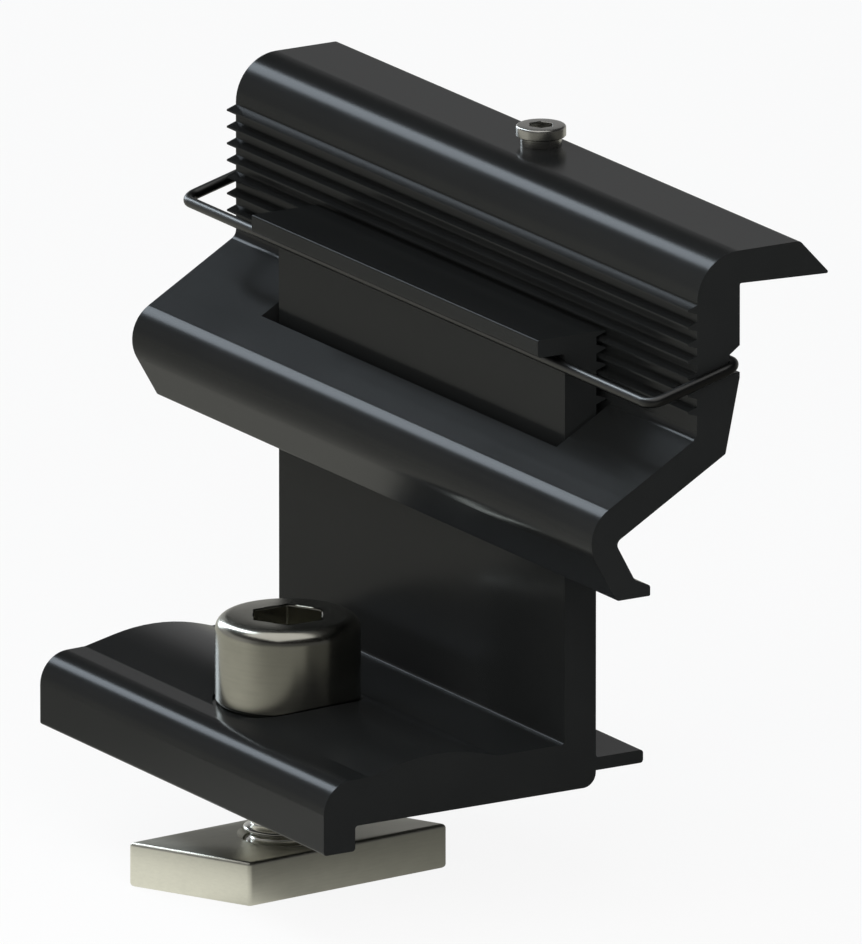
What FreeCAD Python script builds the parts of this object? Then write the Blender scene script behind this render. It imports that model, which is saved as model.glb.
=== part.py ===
import FreeCAD, Part
import math
import os

# End clamp for a solar panel: a bracket that a screw and a slot nut hold on a rail, and a jaw that
# clicks down the bracket's web on fine teeth, pulled on to them by a wire spring.
# X runs along the two extrusions, Y points towards the panel and Z is up. The origin is where the
# screw's axis meets the flat underside of the foot. Every size is in millimetres.

# Socket screw
thread_diameter = 8.0
screw_length = 16.0
screw_head_diameter = 13.0
screw_head_height = 8.0
head_edge_radius = 0.8
head_foot_chamfer = 0.35
socket_width = 6.0
socket_depth = 4.3
socket_cone_depth = 1.2
socket_mouth = 0.35
screw_tip_chamfer = 0.9

# Slot nut
nut_length = 21.6
nut_width = 11.7
nut_thickness = 4.1
nut_end_slant = 22.9
nut_turn = 4.7
nut_drop = 7.9
nut_edge_chamfer = 0.15
thread_play = 0.05

# Bracket
bracket_length = 49.4
web_distance = 13.8
web_thickness = 3.25
web_height = 41.8
web_lip_reach = 2.8
web_lip_height = 1.6
foot_thickness = 4.3
foot_reach = 11.05
hump_front = 6.4
hump_back = 6.8
hump_front_slope = 12.5
hump_back_slope = 17.0
hump_radius = 18.0
toe_drop = 0.12
toe_radius = 2.85
rail_lip_width = 3.25
rail_lip_depth = 2.3
heel_radius = 1.3
ledge_rise = 1.45
ledge_thickness = 1.2
ledge_reach = 4.9
screw_hole_play = 0.5
spot_play = 0.25
edge_radius = 0.3

# Teeth on the jaw's leg and on the back of the web
tooth_pitch = 1.55
tooth_depth = 0.95
tooth_root_width = 0.8
tooth_tip_width = 0.16
tooth_gap = 0.3
web_tooth_count = 5
jaw_teeth_in_mesh = 3

# Jaw
jaw_length = 79.5
clamp_above_web = 6.8
flange_thickness = 3.35
flange_reach = 9.3
flange_root_lift = 0.35
flange_nose_run = 3.1
flange_nose_edge = 0.15
shoulder_radius = 4.2
leg_thickness = 4.4
leg_taper = 1.45
leg_taper_height = 6.8
arm_angle = 30.0
arm_thickness = 3.1
arm_reach = 12.1
arm_below_teeth = 2.42
nose_radius = 3.4
skirt_height = 6.75
skirt_thickness = 2.4
beak_tip_height = 0.95
beak_rise = 0.75
beak_gap = 0.3
slot_side_play = 0.8
slot_front_play = 1.35

# Spring clip
wire_diameter = 1.0
wire_play = 0.1
wire_bend_radius = 1.3
wire_rise = 2.4
wire_end_gap = 0.8
clip_below_lip = 0.4
groove_depth = 1.05
groove_height = 1.7
groove_flank = 0.75

# Earthing pin
pin_head_diameter = 4.5
pin_head_height = 1.0
pin_shank_diameter = 3.7
pin_stand = 0.8
pin_point_depth = 1.3
pin_point_width = 2.4
pin_socket_width = 2.0
pin_socket_depth = 0.9
pin_from_leg = 3.55
pin_seat_play = 0.02

# Places that follow from the sizes above
web_front = web_distance
web_back = web_front + web_thickness
leg_front = web_back + tooth_depth + tooth_gap
leg_back = leg_front + leg_thickness
web_tooth_top = web_height - tooth_tip_width / 2
jaw_tooth_bottom = web_tooth_top - (jaw_teeth_in_mesh - 0.5) * tooth_pitch
clamp_height = web_height + clamp_above_web
flange_top = clamp_height + flange_thickness
jaw_tooth_room = flange_top - shoulder_radius - tooth_root_width / 2 - jaw_tooth_bottom
jaw_tooth_count = int(jaw_tooth_room / tooth_pitch) + 1
wire_radius = wire_diameter / 2
clip_front_y = web_front - wire_play - wire_radius
clip_front_z = web_height - web_lip_height - clip_below_lip - wire_radius
clip_back_y = leg_back - groove_depth + wire_radius + wire_play / 2
clip_back_z = clip_front_z + wire_rise


# A closed outline in the YZ plane, from corners given as (y, z) or (y, z, radius)
def outline(corners):
    points = [FreeCAD.Vector(0, corner[0], corner[1]) for corner in corners]
    radii = [corner[2] if len(corner) > 2 else 0.0 for corner in corners]
    count = len(points)
    bends = []
    for index, point in enumerate(points):
        back = (points[index - 1] - point).normalize()
        ahead = (points[(index + 1) % count] - point).normalize()
        half_angle = back.getAngle(ahead) / 2
        reach = radii[index] / math.tan(half_angle)
        middle = point
        if radii[index] > 0:
            inward = radii[index] / math.sin(half_angle) - radii[index]
            middle = point + (back + ahead).normalize() * inward
        bends.append((point + back * reach, middle, point + ahead * reach))
    edges = []
    for index, (start, middle, end) in enumerate(bends):
        if radii[index] > 0:
            edges.append(Part.Arc(start, middle, end).toShape())
        next_start = bends[(index + 1) % count][0]
        edges.append(Part.LineSegment(end, next_start).toShape())
    return Part.Wire(edges)


# An extrusion along X, centred on the screw's axis
def extruded(corners, length):
    bar = Part.Face(outline(corners)).extrude(FreeCAD.Vector(length, 0, 0))
    bar.translate(FreeCAD.Vector(-length / 2, 0, 0))
    return bar


# A box from its lowest corner to its highest
def block(low, high):
    size = [top - bottom for bottom, top in zip(low, high)]
    return Part.makeBox(size[0], size[1], size[2], FreeCAD.Vector(*low))


# A hexagonal prism standing on z, with two of its corners along Y
def hexagon(width, height, y, z):
    corner_radius = width / math.sqrt(3)
    corners = []
    for step in range(7):
        angle = math.radians(60 * step + 30)
        corner = FreeCAD.Vector(corner_radius * math.cos(angle), y + corner_radius * math.sin(angle), z)
        corners.append(corner)
    return Part.Face(Part.makePolygon(corners)).extrude(FreeCAD.Vector(0, 0, height))


# One row of teeth on a face at y, as outline corners from the lowest tooth up
def teeth(y, lowest, count, depth):
    corners = []
    for number in range(count):
        middle = lowest + number * tooth_pitch
        corners.append((y, middle - tooth_root_width / 2))
        corners.append((y + depth, middle - tooth_tip_width / 2))
        corners.append((y + depth, middle + tooth_tip_width / 2))
        corners.append((y, middle + tooth_root_width / 2))
    return corners


# Bracket: humped foot with a lip over the rail's edge, ledge, web, hooked and toothed top
def base_bracket():
    ledge_top = ledge_rise + ledge_thickness
    lip_face = web_front - web_lip_reach
    lip_under = web_height - web_lip_height
    rise = math.tan(math.radians(hump_front_slope))
    fall = math.tan(math.radians(hump_back_slope))
    crest_y = (hump_back * fall - hump_front * rise) / (rise + fall)
    crest_z = foot_thickness + (hump_back - crest_y) * fall
    lip_inside = rail_lip_width - foot_reach
    lowest_tooth = web_tooth_top - (web_tooth_count - 1) * tooth_pitch
    corners = [
        (web_back, 0, heel_radius),
        (web_back, ledge_rise),
        (web_back + ledge_reach, ledge_rise, edge_radius),
        (web_back + ledge_reach, ledge_top, edge_radius),
        (web_back, ledge_top, edge_radius),
    ]
    corners += teeth(web_back, lowest_tooth, web_tooth_count, tooth_depth)[:-1]
    corners += [
        (lip_face, web_height, edge_radius / 2),
        (lip_face, lip_under, edge_radius),
        (web_front, lip_under, edge_radius),
        (web_front, foot_thickness, edge_radius),
        (hump_back, foot_thickness, edge_radius),
        (crest_y, crest_z, hump_radius),
        (-hump_front, foot_thickness, edge_radius),
        (-foot_reach, foot_thickness - toe_drop, toe_radius),
        (-foot_reach, -rail_lip_depth, edge_radius),
        (lip_inside, -rail_lip_depth, edge_radius),
        (lip_inside, 0, edge_radius),
    ]
    body = extruded(corners, bracket_length)
    hole_radius = thread_diameter / 2 + screw_hole_play
    hole = Part.makeCylinder(hole_radius, foot_thickness + 2, FreeCAD.Vector(0, 0, -1))
    spot_radius = screw_head_diameter / 2 + spot_play
    spot_height = crest_z - foot_thickness
    spot = Part.makeCylinder(spot_radius, spot_height, FreeCAD.Vector(0, 0, foot_thickness))
    return body.cut(hole).cut(spot)


# Jaw: flange over the panel, toothed leg, sloping arm with its skirt and beak, slot for the web
def clamp_jaw():
    slope = math.radians(arm_angle)
    flange_tip = leg_back + flange_reach
    arm_root = jaw_tooth_bottom - arm_below_teeth
    nose_y = leg_front - arm_reach
    nose_z = arm_root - arm_reach * math.tan(slope)
    skirt_foot_y = nose_y + skirt_height * math.tan(slope)
    skirt_foot_z = nose_z - skirt_height
    inner_y = nose_y + skirt_thickness / math.cos(slope)
    beak_tip = web_front - beak_gap
    beak_top = skirt_foot_z + beak_tip_height
    beak_root_z = beak_top + beak_rise
    beak_root_y = inner_y + (nose_z - beak_root_z) * math.tan(slope)
    under_drop = arm_thickness / math.cos(slope)
    inner_corner_y = inner_y + (under_drop - skirt_thickness * math.tan(slope)) / 2 * math.sin(2 * slope)
    inner_corner_z = nose_z - under_drop + (inner_corner_y - nose_y) * math.tan(slope)
    taper_y = leg_back - leg_taper
    taper_z = nose_z - under_drop + (taper_y - nose_y) * math.tan(slope)
    groove_low = clip_back_z - groove_height / 2
    groove_high = clip_back_z + groove_height / 2
    corners = [
        (leg_back, clamp_height + flange_root_lift, edge_radius / 2),
        (flange_tip, clamp_height, flange_nose_edge),
        (flange_tip - flange_nose_run, flange_top, edge_radius * 2),
        (leg_front, flange_top, shoulder_radius),
    ]
    corners += reversed(teeth(leg_front, jaw_tooth_bottom, jaw_tooth_count, -tooth_depth))
    corners += [
        (leg_front, arm_root, edge_radius * 3),
        (nose_y, nose_z, nose_radius),
        (skirt_foot_y, skirt_foot_z, edge_radius),
        (beak_tip, skirt_foot_z, edge_radius / 2),
        (beak_tip, beak_top, edge_radius),
        (beak_root_y, beak_root_z, edge_radius * 3),
        (inner_corner_y, inner_corner_z, edge_radius * 2),
        (taper_y, taper_z, edge_radius),
        (leg_back, taper_z + leg_taper_height),
        (leg_back, groove_low),
        (leg_back - groove_depth, groove_low),
        (leg_back - groove_depth, groove_high),
        (leg_back, groove_high + groove_flank),
    ]
    body = extruded(corners, jaw_length)
    half_slot = bracket_length / 2 + slot_side_play
    slot_floor = (beak_root_z + inner_corner_z) / 2
    slot_front = web_front - slot_front_play
    slot = block((-half_slot, slot_front, slot_floor), (half_slot, leg_front, arm_root))
    hole_radius = pin_shank_diameter / 2 + pin_seat_play
    hole_foot = FreeCAD.Vector(0, leg_back + pin_from_leg, clamp_height - 1)
    hole = Part.makeCylinder(hole_radius, flange_thickness + 2, hole_foot)
    return body.cut(slot).cut(hole)


# A straight run of wire
def straight(start, finish):
    run = finish - start
    return Part.makeCylinder(wire_radius, run.Length, start, run)


# Spring clip: one wire bent into a flat frame, its two ends facing each other behind the leg
def spring_clip():
    side = jaw_length / 2 + wire_play + wire_radius
    start = FreeCAD.Vector(-wire_end_gap / 2, clip_back_y, clip_back_z)
    back_left = FreeCAD.Vector(-side, clip_back_y, clip_back_z)
    front_left = FreeCAD.Vector(-side, clip_front_y, clip_front_z)
    front_right = FreeCAD.Vector(side, clip_front_y, clip_front_z)
    back_right = FreeCAD.Vector(side, clip_back_y, clip_back_z)
    finish = FreeCAD.Vector(wire_end_gap / 2, clip_back_y, clip_back_z)
    stops = [start, back_left, front_left, front_right, back_right, finish]
    pieces = []
    last = start
    for before, corner, after in zip(stops, stops[1:], stops[2:]):
        back = (before - corner).normalize()
        ahead = (after - corner).normalize()
        half_angle = back.getAngle(ahead) / 2
        reach = wire_bend_radius / math.tan(half_angle)
        centre = corner + (back + ahead).normalize() * (wire_bend_radius / math.sin(half_angle))
        bend_start = corner + back * reach
        section = Part.Face(Part.Wire(Part.makeCircle(wire_radius, bend_start, back)))
        turn = 180 - math.degrees(2 * half_angle)
        pieces.append(straight(last, bend_start))
        pieces.append(section.revolve(centre, ahead.cross(back), turn))
        last = corner + ahead * reach
    pieces.append(straight(last, finish))
    return pieces[0].fuse(pieces[1:])


# Socket screw: chamfered tip, shank and head are one turned shape, with the hexagon pressed in
def cap_screw():
    seat = foot_thickness
    top = seat + screw_head_height
    tip = seat - screw_length
    shank_radius = thread_diameter / 2
    head_radius = screw_head_diameter / 2
    edge = head_edge_radius
    turn = head_edge_radius * (1 - math.sqrt(0.5))
    profile = [
        Part.makePolygon([
            FreeCAD.Vector(0, 0, top),
            FreeCAD.Vector(0, 0, tip),
            FreeCAD.Vector(shank_radius - screw_tip_chamfer, 0, tip),
            FreeCAD.Vector(shank_radius, 0, tip + screw_tip_chamfer),
            FreeCAD.Vector(shank_radius, 0, seat),
            FreeCAD.Vector(head_radius - head_foot_chamfer, 0, seat),
            FreeCAD.Vector(head_radius, 0, seat + head_foot_chamfer),
            FreeCAD.Vector(head_radius, 0, top - edge),
        ]),
        Part.Arc(
            FreeCAD.Vector(head_radius, 0, top - edge),
            FreeCAD.Vector(head_radius - turn, 0, top - turn),
            FreeCAD.Vector(head_radius - edge, 0, top),
        ).toShape(),
        Part.LineSegment(
            FreeCAD.Vector(head_radius - edge, 0, top),
            FreeCAD.Vector(0, 0, top),
        ).toShape(),
    ]
    edges = [part for piece in profile for part in piece.Edges]
    turned = Part.Face(Part.Wire(edges)).revolve(FreeCAD.Vector(0, 0, 0), FreeCAD.Vector(0, 0, 1), 360)
    socket = hexagon(socket_width, socket_depth, 0, top - socket_depth)
    cone_foot = FreeCAD.Vector(0, 0, top - socket_depth - socket_cone_depth)
    cone = Part.makeCone(0, socket_width / 2, socket_cone_depth, cone_foot)
    mouth_radius = socket_width / 2 + socket_mouth
    mouth_foot = FreeCAD.Vector(0, 0, top - socket_mouth * 2)
    mouth = Part.makeCone(mouth_radius - socket_mouth * 2, mouth_radius, socket_mouth * 2, mouth_foot)
    return turned.cut(socket.fuse(cone)).cut(mouth)


# Slot nut: a slanted plate that turns under the rail's lips, with the screw's hole through it
def slot_nut():
    lean = nut_width / 2 * math.tan(math.radians(nut_end_slant))
    half_length = nut_length / 2
    half_width = nut_width / 2
    bottom = -nut_drop - nut_thickness
    corners = [
        FreeCAD.Vector(half_width, half_length + lean, bottom),
        FreeCAD.Vector(-half_width, half_length - lean, bottom),
        FreeCAD.Vector(-half_width, -half_length - lean, bottom),
        FreeCAD.Vector(half_width, lean - half_length, bottom),
    ]
    outline_wire = Part.makePolygon(corners + corners[:1])
    plate = Part.Face(outline_wire).extrude(FreeCAD.Vector(0, 0, nut_thickness))
    plate = plate.makeChamfer(nut_edge_chamfer, plate.Edges)
    bore_radius = thread_diameter / 2 + thread_play
    bore = Part.makeCylinder(bore_radius, nut_thickness + 2, FreeCAD.Vector(0, 0, bottom - 1))
    countersink = Part.makeCone(bore_radius + 0.5, bore_radius, 0.5, FreeCAD.Vector(0, 0, bottom))
    nut = plate.cut(bore).cut(countersink)
    nut.rotate(FreeCAD.Vector(0, 0, 0), FreeCAD.Vector(0, 0, 1), nut_turn)
    return nut


# Earthing pin: a stud through the flange, with a key socket above and a point for the panel below
def earthing_pin():
    y = leg_back + pin_from_leg
    shank_foot = clamp_height + flange_root_lift * 0.75
    head_foot = flange_top + pin_stand
    top = head_foot + pin_head_height
    head_radius = pin_head_diameter / 2
    shank_radius = pin_shank_diameter / 2
    edge = 0.25
    profile = [
        (0, top),
        (0, clamp_height - pin_point_depth),
        (pin_point_width / 2, shank_foot),
        (shank_radius, shank_foot),
        (shank_radius, head_foot),
        (head_radius, head_foot),
        (head_radius, top - edge),
        (head_radius - edge, top),
        (0, top),
    ]
    wire = Part.makePolygon([FreeCAD.Vector(across, 0, height) for across, height in profile])
    turned = Part.Face(wire).revolve(FreeCAD.Vector(0, 0, 0), FreeCAD.Vector(0, 0, 1), 360)
    turned.translate(FreeCAD.Vector(0, y, 0))
    return turned.cut(hexagon(pin_socket_width, pin_socket_depth + 1, y, top - pin_socket_depth))


nodes = {
    "base_bracket": base_bracket,
    "clamp_jaw": clamp_jaw,
    "spring_clip": spring_clip,
    "cap_screw": cap_screw,
    "slot_nut": slot_nut,
    "earthing_pin": earthing_pin,
}

os.makedirs("parts", exist_ok=True)
for name, make in nodes.items():
    shape = make()
    solid = shape.Solids[0]
    print(name, "solids", len(shape.Solids), "valid", shape.isValid(), "volume", round(shape.Volume, 1))
    solid.exportStep("parts/" + name + ".step")
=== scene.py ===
import math

import bmesh
import bpy
from mathutils import Matrix, Vector


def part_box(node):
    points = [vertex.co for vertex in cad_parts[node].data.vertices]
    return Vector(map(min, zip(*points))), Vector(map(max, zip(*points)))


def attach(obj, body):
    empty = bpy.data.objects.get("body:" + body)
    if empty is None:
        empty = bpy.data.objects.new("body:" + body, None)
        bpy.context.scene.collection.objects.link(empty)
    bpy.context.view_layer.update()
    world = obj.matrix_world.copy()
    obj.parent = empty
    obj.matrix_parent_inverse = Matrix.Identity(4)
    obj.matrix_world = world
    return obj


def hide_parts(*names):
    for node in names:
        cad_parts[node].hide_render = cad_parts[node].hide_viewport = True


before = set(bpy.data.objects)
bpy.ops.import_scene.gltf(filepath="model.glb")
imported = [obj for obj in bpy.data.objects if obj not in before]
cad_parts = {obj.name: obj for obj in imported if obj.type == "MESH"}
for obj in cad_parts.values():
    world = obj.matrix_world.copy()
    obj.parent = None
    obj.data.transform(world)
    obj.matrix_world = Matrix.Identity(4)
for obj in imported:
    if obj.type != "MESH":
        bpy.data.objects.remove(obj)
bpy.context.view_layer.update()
mm = 0.001
touching = 1e-6  # metres, within which two heights are the same


# A socket of a node: its operators add Math nodes, and one method adds any other node
class Field:
    def __init__(self, tree, socket=None):
        self.tree = tree
        self.socket = socket

    def node(self, kind, settings=None, sockets=None, output=0):
        made = self.tree.nodes.new(kind)
        for name, value in (settings or {}).items():
            setattr(made, name, value)
        for name, value in (sockets or {}).items():
            if isinstance(value, Field):
                self.tree.links.new(value.socket, made.inputs[name])
            else:
                made.inputs[name].default_value = value
        return Field(self.tree, made.outputs[output])

    def maths(self, operation, *values):
        return self.node("ShaderNodeMath", {"operation": operation}, dict(enumerate(values)))

    def __add__(self, other):
        return self.maths("ADD", self, other)

    def __sub__(self, other):
        return self.maths("SUBTRACT", self, other)

    def __rsub__(self, other):
        return self.maths("SUBTRACT", other, self)

    def __mul__(self, other):
        return self.maths("MULTIPLY", self, other)

    def __pow__(self, other):
        return self.maths("POWER", self, other)


# A new material with its shader, its constants set on the shader's own sockets
def newFinish(name, constants):
    finish = bpy.data.materials.new(name)
    finish.use_nodes = True
    shader = finish.node_tree.nodes["Principled BSDF"]
    for socket, value in constants.items():
        shader.inputs[socket].default_value = value
    return finish, shader, Field(finish.node_tree)


def feed(shader, socket, field):
    field.tree.links.new(field.socket, shader.inputs[socket])


# Object coordinates, stretched by so many features to the metre along each axis
def stretched(start, scale, turn=(0, 0, 0)):
    place = start.node("ShaderNodeTexCoord", output="Object")
    return start.node("ShaderNodeMapping", {}, {"Vector": place, "Scale": scale, "Rotation": turn})


def noise(start, scale, detail=3.0, turn=(0, 0, 0)):
    place = stretched(start, scale, turn)
    return start.node("ShaderNodeTexNoise", {}, {"Vector": place, "Scale": 1.0, "Detail": detail})


# Two noises laid over each other, the first with its share of the sum
def blend(first, second, share=0.5):
    return first * share + second * (1 - share)


def axisOf(place, axis):
    return place.node("ShaderNodeSeparateXYZ", {}, {"Vector": place}, axis)


# A Mix node's colour sockets share their names with its other sockets, so they go by number
def mixColour(factor, first, second):
    sockets = {"Factor": factor, 6: first, 7: second}
    return factor.node("ShaderNodeMix", {"data_type": "RGBA"}, sockets, output=2)


def bump(height, strength, distance):
    sockets = {"Height": height, "Strength": strength, "Distance": distance}
    return height.node("ShaderNodeBump", {}, sockets)


markDepth = 0.01  # mm, the depth of a bump that spans a noise from black to white
noiseMiddle = 0.5

# Black anodising over drawn aluminium: faint die lines along the bar, saw marks on its ends
anodised = {
    "dark": (0.0078, 0.0083, 0.0083, 1),
    "pale": (0.0132, 0.0138, 0.0136, 1),
    "specular": 0.1,
    "roughness": 0.2,
    "roughnessSpread": 0.08,
    "endRoughness": 0.16,
    "bump": 0.1,
    "lineHeight": 0.5,
    "grainHeight": 0.25,
    "cloudShare": 0.6,
    "endFrom": 0.9,
    "sawTurn": 35,
    "dieLines": (8, 3600, 3600),
    "cloud": (90, 160, 160),
    "grain": (9000, 9000, 9000),
    "sawLines": (2500, 420, 5200),
}


def blackAnodised():
    constants = {"Specular IOR Level": anodised["specular"]}
    finish, shader, start = newFinish("black_anodised", constants)
    normal = start.node("ShaderNodeNewGeometry", output="Normal")
    across = axisOf(normal, 0)
    onEnd = start.maths("GREATER_THAN", start.maths("ABSOLUTE", across), anodised["endFrom"])
    lines = noise(start, anodised["dieLines"], detail=4.0)
    cloud = noise(start, anodised["cloud"])
    grain = noise(start, anodised["grain"], detail=2.0)
    saw = noise(start, anodised["sawLines"], turn=(math.radians(anodised["sawTurn"]), 0, 0))
    shade = blend(cloud, grain, anodised["cloudShare"])
    feed(shader, "Base Color", mixColour(shade, anodised["dark"], anodised["pale"]))
    spread = blend(lines, cloud) - noiseMiddle
    rough = spread * anodised["roughnessSpread"] + anodised["roughness"]
    feed(shader, "Roughness", rough + onEnd * anodised["endRoughness"])
    height = lines * (1 - onEnd) * anodised["lineHeight"] + grain * anodised["grainHeight"]
    height = height + saw * onEnd
    feed(shader, "Normal", bump(height, anodised["bump"], markDepth * mm))
    return finish


# Satin stainless steel, with fine marks that run round a turned piece or along a rolled one
steel = {
    "spread": 0.14,
    "pale": 1.12,
    "deep": 0.82,
    "scratchShare": 0.6,
    "mottle": (700, 700, 700),
    "grain": (7000, 7000, 7000),
}


def satinSteel(name, colour, marks, roughness, strength, mask=None):
    finish, shader, start = newFinish(name, {"Metallic": 1.0})
    mottle = noise(start, steel["mottle"], detail=4.0)
    grain = noise(start, steel["grain"], detail=2.0)
    scratches = noise(start, marks)
    pale = tuple(min(1, steel["pale"] * c) for c in colour) + (1,)
    deep = tuple(steel["deep"] * c for c in colour) + (1,)
    tint = mixColour(blend(mottle, scratches), deep, pale)
    if mask:
        tint = mask(start, tint)
    feed(shader, "Base Color", tint)
    spread = blend(mottle, scratches) - noiseMiddle
    feed(shader, "Roughness", spread * steel["spread"] + roughness)
    height = blend(scratches, grain, steel["scratchShare"])
    feed(shader, "Normal", bump(height, strength, markDepth * mm))
    return finish


# Painted shade darkens the screw's socket and the highlight on its rim; a painted sheen brightens
# its thread
paintedScrewLight = {
    "socketRadius": 3.8,
    "socketRim": 0.01,
    "socketPaintedShade": (0.4, 0.39, 0.34, 1),
    "threadTop": 3.8,
    "threadPaintedSheen": (0.8, 0.79, 0.74, 1),
}


def screwShadeAndSheen(start, tint):
    place = start.node("ShaderNodeTexCoord", output="Object")
    across, along, height = [axisOf(place, axis) for axis in range(3)]
    fromAxis = across * across + along * along
    # Painted shade: inside the socket's radius and below its rim
    near = start.maths("LESS_THAN", fromAxis, (paintedScrewLight["socketRadius"] * mm) ** 2)
    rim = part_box("cap_screw")[1].z - paintedScrewLight["socketRim"] * mm
    deep = start.maths("LESS_THAN", height, rim)
    thread = start.maths("LESS_THAN", height, paintedScrewLight["threadTop"] * mm)
    # Painted shade in the socket, then a painted sheen on the thread below its top
    tint = mixColour(near * deep, tint, paintedScrewLight["socketPaintedShade"])
    return mixColour(thread, tint, paintedScrewLight["threadPaintedSheen"])


# The steel finishes: colour, marks to the metre, roughness, the strength of the marks and, for the
# screw, its painted shade and sheen
steels = {
    "screw": ("turned_steel", (0.44, 0.43, 0.375), (200, 200, 5000), 0.22, 0.06, screwShadeAndSheen),
    "nut": ("pressed_steel", (0.78, 0.77, 0.68), (2500, 500, 5000), 0.38, 0.2),
    "wire": ("drawn_wire", (0.08, 0.08, 0.078), (200, 5000, 5000), 0.36, 0.1),
    "pin": ("bright_steel", (0.5, 0.49, 0.46), (400, 400, 6000), 0.27, 0.1),
}
finishes = {"black": blackAnodised()}
for name, values in steels.items():
    finishes[name] = satinSteel(*values)
print("finishes made", len(finishes))


# Leaves one object selected and active
def takeUp(piece):
    bpy.ops.object.select_all(action="DESELECT")
    piece.select_set(True)
    bpy.context.view_layer.objects.active = piece


# In edit mode, selects the vertices that a test on their place accepts
def pick(piece, test):
    mesh = bmesh.from_edit_mesh(piece.data)
    for vert in mesh.verts:
        vert.select = bool(test(vert.co))
    mesh.select_flush_mode()
    bmesh.update_edit_mesh(piece.data)


def finishPiece(piece, name, body, finish, replaced, smoothTo=32):
    takeUp(piece)
    bpy.ops.object.transform_apply(location=True, rotation=True, scale=True)
    bpy.ops.object.shade_smooth_by_angle(angle=math.radians(smoothTo))
    piece.name = piece.data.name = name
    piece.data.materials.clear()
    piece.data.materials.append(finish)
    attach(piece, body)
    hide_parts(replaced)
    print(name, "made with", len(piece.data.polygons), "faces")


# A round piece drawn out ring by ring from its lowest ring, each ring given as (radius, height)
def turned(centre, rings, sides=96):
    radius, height = rings[0]
    bpy.ops.object.select_all(action="DESELECT")
    place = (centre[0], centre[1], height)
    bpy.ops.mesh.primitive_circle_add(
        vertices=sides, radius=radius, fill_type="NGON", location=place)
    piece = bpy.context.object
    bpy.ops.object.transform_apply(location=True, rotation=True, scale=True)
    bpy.ops.object.mode_set(mode="EDIT")
    bpy.ops.mesh.select_all(action="SELECT")
    for nextRadius, nextHeight in rings[1:]:
        rise = (0, 0, nextHeight - height)
        bpy.ops.mesh.extrude_region_move(TRANSFORM_OT_translate={"value": rise})
        ratio = nextRadius / radius
        pivot = (centre[0], centre[1], nextHeight)
        bpy.ops.transform.resize(value=(ratio, ratio, 1), center_override=pivot)
        radius, height = nextRadius, nextHeight
    bpy.ops.mesh.select_all(action="SELECT")
    bpy.ops.mesh.normals_make_consistent(inside=False)
    bpy.ops.object.mode_set(mode="OBJECT")
    return piece


# How far a hexagon's side is from its centre, in the direction of an angle
def hexReach(angle, width):
    step = math.radians(60)
    inside = (angle - step / 2) % step - step / 2
    return width / 2 / math.cos(inside)


# The quarter circle that rounds an edge, as rings from the piece's side to its top
def rounding(radius, top, edge, steps):
    for step in range(steps + 1):
        turn = math.pi / 2 * step / steps
        yield radius - edge + edge * math.cos(turn), top - edge + edge * math.sin(turn)


screw = {
    "pitch": 1.25,
    "threadDepth": 0.72,
    "threadTop": 0.4,
    "crestShare": 0.14,
    "flankShare": 0.64,
    "shankRadius": 4.0,
    "headRadius": 6.5,
    "headHeight": 8.0,
    "topEdge": 1.3,
    "topEdgeSteps": 8,
    "footChamfer": 0.35,
    "socketWidth": 6.0,
    "socketDepth": 4.3,
    "socketRims": (0.75, 0.2, 0.08),
    "socketChamfer": 0.12,
    "drillPoint": (0.3, 1.2),
    "margin": 0.15,
    "tipChamfer": 0.9,
    "threadCuts": 180,
    "sides": 120,
    "smoothTo": 75,
    "hold": 0.15,
}


# How deep the thread's groove is at a height and an angle, from 0 at the crest to 1
def grooveAt(height, angle):
    along = (height / screw["pitch"] - angle / math.tau) % 1
    fromCrest = abs(along - 0.5) * 2
    return min(1, max(0, (fromCrest - screw["crestShare"]) / screw["flankShare"]))


def capScrew():
    low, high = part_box("cap_screw")
    low, high = low / mm, high / mm
    shank, head, hold = screw["shankRadius"], screw["headRadius"], screw["hold"]
    tip, foot = screw["tipChamfer"], screw["footChamfer"]
    seat = high.z - screw["headHeight"]
    rings = [(shank - tip, low.z), (shank, low.z + tip)]
    rings += [(shank, screw["threadTop"]), (shank, seat), (head - foot, seat)]
    rings += [(head, seat + foot), (head, seat + foot + hold)]
    rings += rounding(head, high.z, screw["topEdge"], screw["topEdgeSteps"])
    socket = screw["socketWidth"] / 2
    mouth, bottom = high.z - screw["socketChamfer"], high.z - screw["socketDepth"]
    pointRadius, pointDepth = screw["drillPoint"]
    rings += [(socket + rim, high.z) for rim in screw["socketRims"]]
    rings += [(socket, mouth), (socket, mouth - hold)]
    rings += [(socket, bottom + hold), (socket, bottom), (pointRadius, bottom - pointDepth)]
    rings = [(radius * mm, height * mm) for radius, height in rings]
    piece = turned((0, 0), rings, screw["sides"])
    bpy.ops.object.mode_set(mode="EDIT")
    mesh = bmesh.from_edit_mesh(piece.data)
    threadFoot, threadTop = (low.z + tip) * mm, screw["threadTop"] * mm
    for edge in mesh.edges:
        lower, upper = sorted(vert.co.z for vert in edge.verts)
        edge.select = max(abs(lower - threadFoot), abs(upper - threadTop)) < touching
    bmesh.update_edit_mesh(piece.data)
    bpy.ops.mesh.subdivide(number_cuts=screw["threadCuts"])
    bpy.ops.object.mode_set(mode="OBJECT")
    root = (shank - screw["threadDepth"]) * mm
    for vert in piece.data.vertices:
        radius = math.hypot(vert.co.x, vert.co.y)
        angle = math.atan2(vert.co.y, vert.co.x)
        if vert.co.z < threadTop - touching and radius > root:
            fade = min(1, (threadTop - vert.co.z) / mm)
            deep = screw["threadDepth"] * mm * grooveAt(vert.co.z / mm, angle) * fade
            scale = min(radius, shank * mm - deep) / radius
            vert.co.x *= scale
            vert.co.y *= scale
        if vert.co.z > seat * mm and socket / 2 < radius / mm < socket + screw["margin"]:
            scale = hexReach(angle, screw["socketWidth"]) / socket
            vert.co.x *= scale
            vert.co.y *= scale
    finishPiece(piece, "cap_screw_threaded", "screw", finishes["screw"],
                "cap_screw", screw["smoothTo"])


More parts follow.
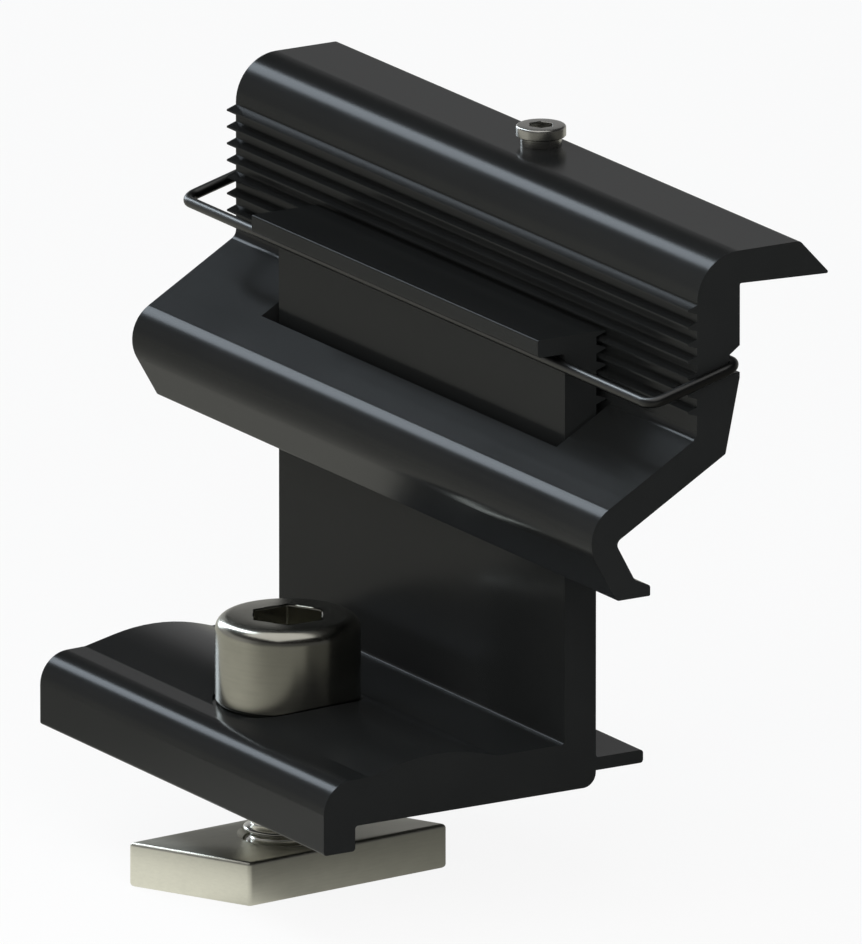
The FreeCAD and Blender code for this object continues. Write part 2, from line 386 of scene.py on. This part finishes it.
# The nut is a block with its long sides slid past each other, its edges eased and its hole bored
nut = {
    "length": 21.6,
    "width": 11.7,
    "slant": 22.9,
    "turn": 4.7,
    "edge": 0.35,
    "edgeSteps": 4,
    "bore": 4.05,
    "countersink": 0.5,
}


def slotNut():
    low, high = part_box("slot_nut")
    thick = high.z - low.z
    bpy.ops.object.select_all(action="DESELECT")
    bpy.ops.mesh.primitive_cube_add(size=1, location=(0, 0, (low.z + high.z) / 2))
    piece = bpy.context.object
    piece.scale = (nut["width"] * mm, nut["length"] * mm, thick)
    bpy.ops.object.transform_apply(location=True, rotation=True, scale=True)
    lean = nut["width"] / 2 * math.tan(math.radians(nut["slant"])) * mm
    bpy.ops.object.mode_set(mode="EDIT")
    pick(piece, lambda co: co.x > 0)
    bpy.ops.transform.translate(value=(0, lean, 0))
    pick(piece, lambda co: co.x < 0)
    bpy.ops.transform.translate(value=(0, -lean, 0))
    bpy.ops.mesh.select_all(action="SELECT")
    bpy.ops.mesh.bevel(offset=nut["edge"] * mm, segments=nut["edgeSteps"], affect="EDGES")
    bpy.ops.object.mode_set(mode="OBJECT")
    bore, sink = nut["bore"] * mm, nut["countersink"] * mm
    rings = [(bore + 2 * sink, low.z - sink), (bore, low.z + sink)]
    rings += [(bore, high.z - sink), (bore + 2 * sink, high.z + sink)]
    tool = turned((0, 0), rings)
    takeUp(piece)
    cut = piece.modifiers.new("bore", "BOOLEAN")
    cut.operation = "DIFFERENCE"
    cut.object = tool
    bpy.ops.object.modifier_apply(modifier="bore")
    bpy.data.objects.remove(tool)
    piece.rotation_euler.z = math.radians(nut["turn"])
    finishPiece(piece, "slot_nut_bored", "nut", finishes["nut"], "slot_nut")


pin = {
    "headRadius": 2.25,
    "headHeight": 1.0,
    "neckRadius": 1.85,
    "footAbovePoint": 1.5625,
    "edge": 0.22,
    "edgeSteps": 6,
    "headChamfer": 0.08,
    "pointRadius": 1.2,
    "tipRadius": 0.05,
    "socketWidth": 2.0,
    "socketDepth": 0.9,
    "socketRims": (0.3, 0.04),
    "socketChamfer": 0.06,
    "drillPoint": (0.1, 0.3),
    "margin": 0.1,
    "sides": 72,
}


def earthingPin():
    low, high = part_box("earthing_pin")
    centre = ((low.x + high.x) / 2, (low.y + high.y) / 2)
    bottom, top = low.z / mm, high.z / mm
    neckFoot = bottom + pin["footAbovePoint"]
    headFoot = top - pin["headHeight"]
    neck, head, chamfer = pin["neckRadius"], pin["headRadius"], pin["headChamfer"]
    rings = [(pin["tipRadius"], bottom), (pin["pointRadius"], neckFoot), (neck, neckFoot)]
    rings += [(neck, headFoot), (head - chamfer, headFoot), (head, headFoot + chamfer)]
    rings += rounding(head, top, pin["edge"], pin["edgeSteps"])
    socket = pin["socketWidth"] / 2
    pocket = top - pin["socketDepth"]
    pointRadius, pointDepth = pin["drillPoint"]
    rings += [(socket + rim, top) for rim in pin["socketRims"]]
    rings += [(socket, top - pin["socketChamfer"])]
    rings += [(socket, pocket), (pointRadius, pocket - pointDepth)]
    rings = [(radius * mm, height * mm) for radius, height in rings]
    piece = turned(centre, rings, pin["sides"])
    for vert in piece.data.vertices:
        x, y = vert.co.x - centre[0], vert.co.y - centre[1]
        radius = math.hypot(x, y)
        inSocket = vert.co.z > (pocket - pin["margin"]) * mm
        if inSocket and socket / 2 < radius / mm < socket + pin["margin"]:
            scale = hexReach(math.atan2(y, x), pin["socketWidth"]) / socket
            vert.co.x = centre[0] + x * scale
            vert.co.y = centre[1] + y * scale
    finishPiece(piece, "earthing_pin_turned", "jaw", finishes["pin"],
                "earthing_pin")


capScrew()
slotNut()
earthingPin()

# The two extrusions and the wire clip keep the frame's own meshes
for name, finish in {"base_bracket": "black", "clamp_jaw": "black", "spring_clip": "wire"}.items():
    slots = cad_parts[name].data.materials
    slots.clear()
    slots.append(finishes[finish])
print("finishes laid on the frame")

# Where the camera stands round the clamp, and where the frame's origin lies in the picture
view = {
    "azimuth": 59.0,
    "elevation": 15.6,
    "lens": 1500.0,
    "sensor": 36.0,
    "sightEnd": 30.0,
    "pixelsPerMm": 11.242,
    "imageWidth": 862,
    "imageHeight": 944,
    "originX": 288.0,
    "originY": 747.5,
}


# The turn of a camera or lamp, from where its right side, its top and its back point
def facing(right, up, back):
    return Matrix((right, up, back)).transposed().to_4x4()


def placeCamera():
    around, above = math.radians(view["azimuth"]), math.radians(view["elevation"])
    back = Vector((0, -math.cos(above), math.sin(above)))
    back.rotate(Matrix.Rotation(around, 3, "Z"))
    right = Vector((math.cos(around), math.sin(around), 0))
    up = back.cross(right)
    perMetre = view["pixelsPerMm"] / mm
    aside = (view["imageWidth"] / 2 - view["originX"]) / perMetre
    raised = (view["originY"] - view["imageHeight"] / 2) / perMetre
    lens = bpy.data.cameras.new("camera")
    lens.lens = view["lens"]
    lens.sensor_width = view["sensor"]
    lens.clip_end = view["sightEnd"]
    distance = view["lens"] / view["sensor"] * view["imageHeight"] / perMetre
    camera = bpy.data.objects.new("camera", lens)
    bpy.context.scene.collection.objects.link(camera)
    stand = Matrix.Translation(right * aside + up * raised + back * distance)
    camera.matrix_world = stand @ facing(right, up, back)
    bpy.context.scene.camera = camera
    return distance


# White floor, dark air with a pale belt above the horizon, and four soft lamps. The floor's drop
# below the nut is in mm and all else in metres. Each fall is from where, to where and down to what
# share, and in the air it goes by the ray's direction.
studio = {
    "floorDrop": 0.02,
    "floorSize": 14.0,
    "floorShader": {
        "Base Color": (0.8, 0.8, 0.8, 1),
        "Roughness": 0.9,
        "Specular IOR Level": 0.0,
    },
    "floorGlow": 0.9,
    # What metal sees of the floor: a painted pool of light, and painted shade under and right of
    # the clamp
    "nearReflected": (1.0, 1.0, 0.93, 1),
    "farReflected": (0.54, 0.54, 0.49, 1),
    "poolCentre": (-0.008, -0.02),
    "poolEdge": (0.012, 0.045),
    "sideFall": (-0.03, 0.07, 0.5),
    "shadeUnder": (-0.012, -0.002, 0.35),
    "shadeFrom": (-0.016, -0.002, 0.0),
    "horizon": 0.38,
    "skyFall": (0.29, 0.42, 0.13),
    "diffuseShare": 0.9,
    "airFall": (-0.4, 0.4, 0.25),
    "aimAt": (0, 0.01, 0.03),
}
lamps = {
    "key": {
        "towards": (-0.8256, -0.1599, 0.5411),
        "distance": 2.0,
        "width": 0.47,
        "length": 2.3,
        "watts": 26.5,
        "colour": (0.8, 0.9, 1.0),
    },
    "overhead": {
        "towards": (0.1, -0.25, 1.0),
        "distance": 1.2,
        "width": 1.5,
        "length": 1.5,
        "watts": 6.5,
        "colour": (1.0, 1.0, 1.0),
    },
    "front": {
        "towards": (0.1, -1.0, 0.45),
        "distance": 1.1,
        "width": 0.6,
        "length": 0.5,
        "watts": 2.9,
        "colour": (1.0, 1.0, 0.95),
        "mirrored": False,
    },
    "side": {
        "towards": (0.9, -0.42, 0.3),
        "distance": 0.24,
        "width": 0.2,
        "length": 0.2,
        "watts": 0.55,
        "colour": (1.0, 1.0, 1.0),
        "mirrored": False,
    },
}


# Which rays see the white: the camera's, and those that a surface mirrors or lets through
def whiteRays(start):
    path = start.node("ShaderNodeLightPath").socket.node.outputs
    camera = Field(start.tree, path["Is Camera Ray"])
    glossy = Field(start.tree, path["Is Glossy Ray"])
    clear = Field(start.tree, path["Is Transmission Ray"])
    return camera, start.maths("MAXIMUM", glossy, clear)


# Falls smoothly from 1 to a least level between two places
def falling(value, low, high, least):
    settings = {"interpolation_type": "SMOOTHSTEP"}
    sockets = {"Value": value, "From Min": low, "From Max": high, "To Min": 1.0, "To Max": least}
    return value.node("ShaderNodeMapRange", settings, sockets)


# What metal sees of the floor: a painted pool of light in front of the clamp, and painted shade
# under it and to its right
def paintedFloorLight(start):
    place = start.node("ShaderNodeTexCoord", output="Object")
    x, y = axisOf(place, 0), axisOf(place, 1)
    across, along = x - studio["poolCentre"][0], y - studio["poolCentre"][1]
    near, far = studio["poolEdge"]
    close = falling((across * across + along * along) ** 0.5, near, far, 0.0)
    colour = mixColour(close, studio["farReflected"], studio["nearReflected"])
    under, beside = falling(y, *studio["shadeUnder"]), falling(x, *studio["shadeFrom"])
    level = falling(x, *studio["sideFall"]) * start.maths("MAXIMUM", under, beside)
    return mixColour(level, (0, 0, 0, 1), colour)


def floor():
    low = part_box("slot_nut")[0]
    bpy.ops.object.select_all(action="DESELECT")
    place = (0, 0, low.z - studio["floorDrop"] * mm)
    bpy.ops.mesh.primitive_plane_add(size=studio["floorSize"], location=place)
    piece = bpy.context.object
    piece.name = "floor"
    finish, shader, start = newFinish("white_floor", studio["floorShader"])
    camera, mirrored = whiteRays(start)
    colour = mixColour(camera, paintedFloorLight(start), (1, 1, 1, 1))
    glow = start.node("ShaderNodeEmission", {}, {"Color": colour, "Strength": 1.0})
    share = start.maths("MAXIMUM", camera * studio["floorGlow"], mirrored)
    mixed = start.node("ShaderNodeMixShader", {}, {0: share, 2: glow})
    start.tree.links.new(shader.outputs[0], mixed.socket.node.inputs[1])
    start.tree.links.new(mixed.socket, start.tree.nodes["Material Output"].inputs["Surface"])
    piece.data.materials.append(finish)


def air():
    world = bpy.data.worlds.new("air")
    world.use_nodes = True
    bpy.context.scene.world = world
    start = Field(world.node_tree)
    camera, mirrored = whiteRays(start)
    place = start.node("ShaderNodeTexCoord", output="Generated")
    across, height = axisOf(place, 0), axisOf(place, 2)
    rise = falling(height, *studio["skyFall"]) * studio["horizon"]
    background = world.node_tree.nodes["Background"]
    share = start.maths("MAXIMUM", mirrored, studio["diffuseShare"])
    level = rise * falling(across, *studio["airFall"]) * share
    feed(background, "Strength", start.maths("MAXIMUM", camera, level))
    background.inputs["Color"].default_value = (1, 1, 1, 1)


# Hangs a lamp at a distance from the middle of the clamp. One that isn't mirrored lights the
# clamp, but no gloss or metal shows it.
def hangLamp(name, towards, distance, width, length, watts, colour, mirrored=True):
    lamp = bpy.data.lights.new(name, "AREA")
    lamp.shape = "RECTANGLE"
    lamp.size = width
    lamp.size_y = length
    lamp.energy = watts
    lamp.color = colour
    back = Vector(towards).normalized()
    side = Vector((1, 0, 0)).cross(back).normalized()
    holder = bpy.data.objects.new(name, lamp)
    bpy.context.scene.collection.objects.link(holder)
    place = Matrix.Translation(Vector(studio["aimAt"]) + back * distance)
    holder.matrix_world = place @ facing(side, back.cross(side), back)
    holder.visible_camera = False
    holder.visible_glossy = mirrored


floor()
air()
for name, lamp in lamps.items():
    hangLamp(name, **lamp)
print("studio set, camera at", round(placeCamera(), 2), "m")

bpy.context.scene.view_settings.view_transform = "Standard"
